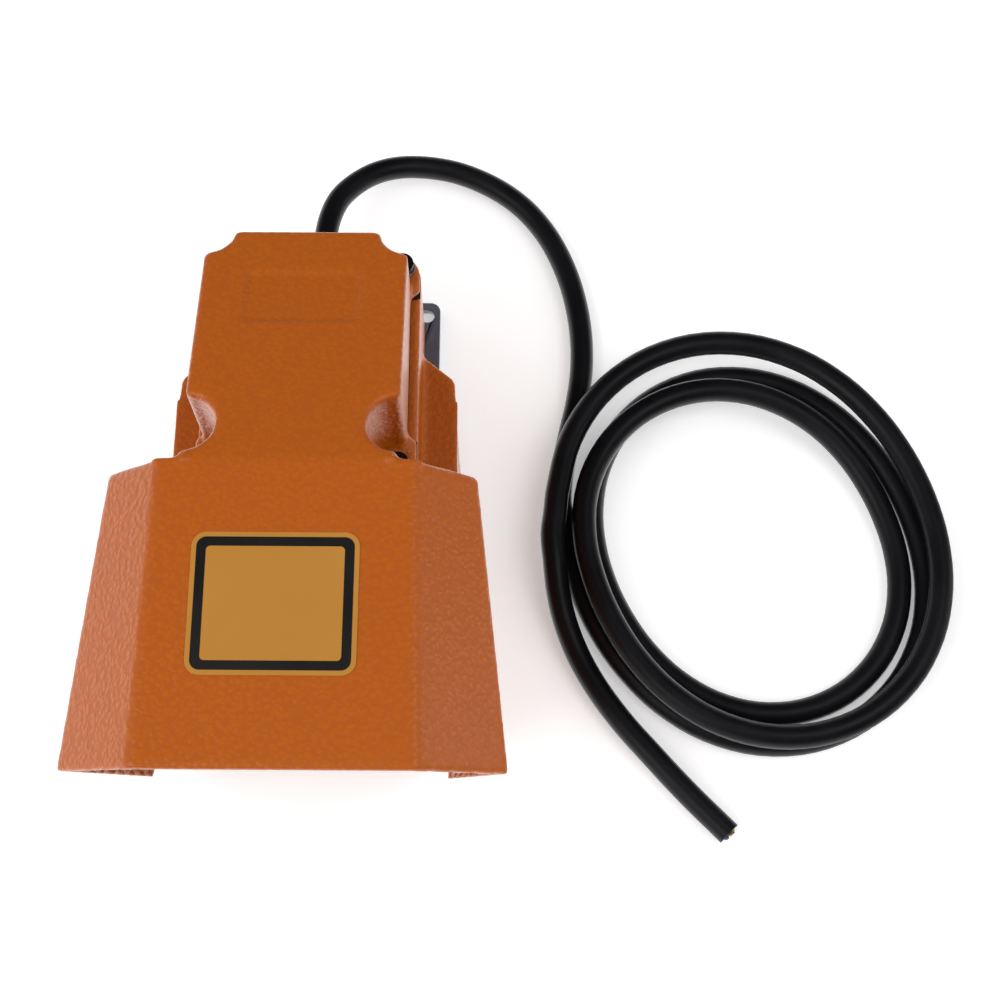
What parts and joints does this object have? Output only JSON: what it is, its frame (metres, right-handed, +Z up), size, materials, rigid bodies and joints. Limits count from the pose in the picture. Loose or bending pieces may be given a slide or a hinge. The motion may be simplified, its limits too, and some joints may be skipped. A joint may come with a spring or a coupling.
{
  "type": "guarded foot switch",
  "caption": "Guarded industrial foot switch: cast metal hood over a hinged pedal, sealed contact chamber behind, slotted base plate and a coiled cord.",
  "frame": {"origin": "on the floor below the middle of the switch, its cord left out", "axes": "+X to the side where the cord is laid, +Y from the foot mouth to the cable gland, +Z up"},
  "size_m": [0.3222, 0.2865, 0.1152],
  "materials": {
    "casting_paint": "hammer-textured orange powder coat, satin",
    "plate_paint": "slate grey paint, satin",
    "rubber": "matte",
    "black_steel": "black oxide, satin",
    "zinc_steel": "zinc plated, satin",
    "bright_steel": "ground, satin",
    "pedal_paint": "black paint, satin",
    "ivory_plastic": "matte",
    "brass": "satin",
    "contact_copper": "satin",
    "block_plastic": "matte",
    "gland_plastic": "satin",
    "core_brown": "satin",
    "core_blue": "satin",
    "core_green_yellow": "satin",
    "label_amber": "printed film, satin",
    "cord_sheath": "gloss"
  },
  "bodies": {
    "housing": {"upper_casting": "casting_paint", "lower_casting": "casting_paint", "base_plate": "plate_paint", "rubber_feet": "rubber", "chamber_gasket": "rubber", "rest_buffer": "rubber", "plunger_boot": "rubber", "gland_seal": "rubber", "casing_screws": "black_steel", "casing_washers": "zinc_steel", "plate_screws": "zinc_steel", "shaft_set_screws": "zinc_steel", "switch_screws": "zinc_steel", "bracket_screws": "zinc_steel", "switch_bracket": "zinc_steel", "pivot_shaft": "bright_steel", "return_spring": "bright_steel", "plunger_spring": "bright_steel", "plunger_bush": "brass", "terminal_screws": "brass", "earth_screw": "brass", "fixed_contacts": "contact_copper", "switch_body": "block_plastic", "switch_cover": "block_plastic", "gland_body": "gland_plastic", "gland_nut": "gland_plastic", "wire_brown": "core_brown", "wire_blue": "core_blue", "wire_earth": "core_green_yellow", "label_panel": "label_amber", "cord_lead": "cord_sheath", "cord_coil": "cord_sheath", "cord_tail": "cord_sheath"},
    "pedal_body": {"pedal": "pedal_paint", "pedal_pads": "rubber", "adjusting_screw": "zinc_steel", "adjusting_locknut": "zinc_steel"},
    "plunger_body": {"plunger": "ivory_plastic", "contact_bridge": "contact_copper"}
  },
  "joints": [
    {"name": "pedal_pivot", "type": "hinge", "parent": "housing", "child": "pedal_body", "pos_m": [0, 0.022, 0.018], "axis": [1, 0, 0], "range_deg": [0, 8], "stiffness_Nm_per_rad": 6, "springref_deg": -20.05, "deforming": ["return_spring"]},
    {"name": "plunger_slide", "type": "slide", "parent": "housing", "child": "plunger_body", "axis": [0, 0, 1], "range_m": [0, 0.0041], "stiffness_N_per_m": 300, "springref_m": -0.01, "deforming": ["plunger_boot", "plunger_spring"]}
  ],
  "couplings": [
    {"joint": "plunger_slide", "follows": "pedal_pivot", "m_per_rad": 0.028}
  ]
}
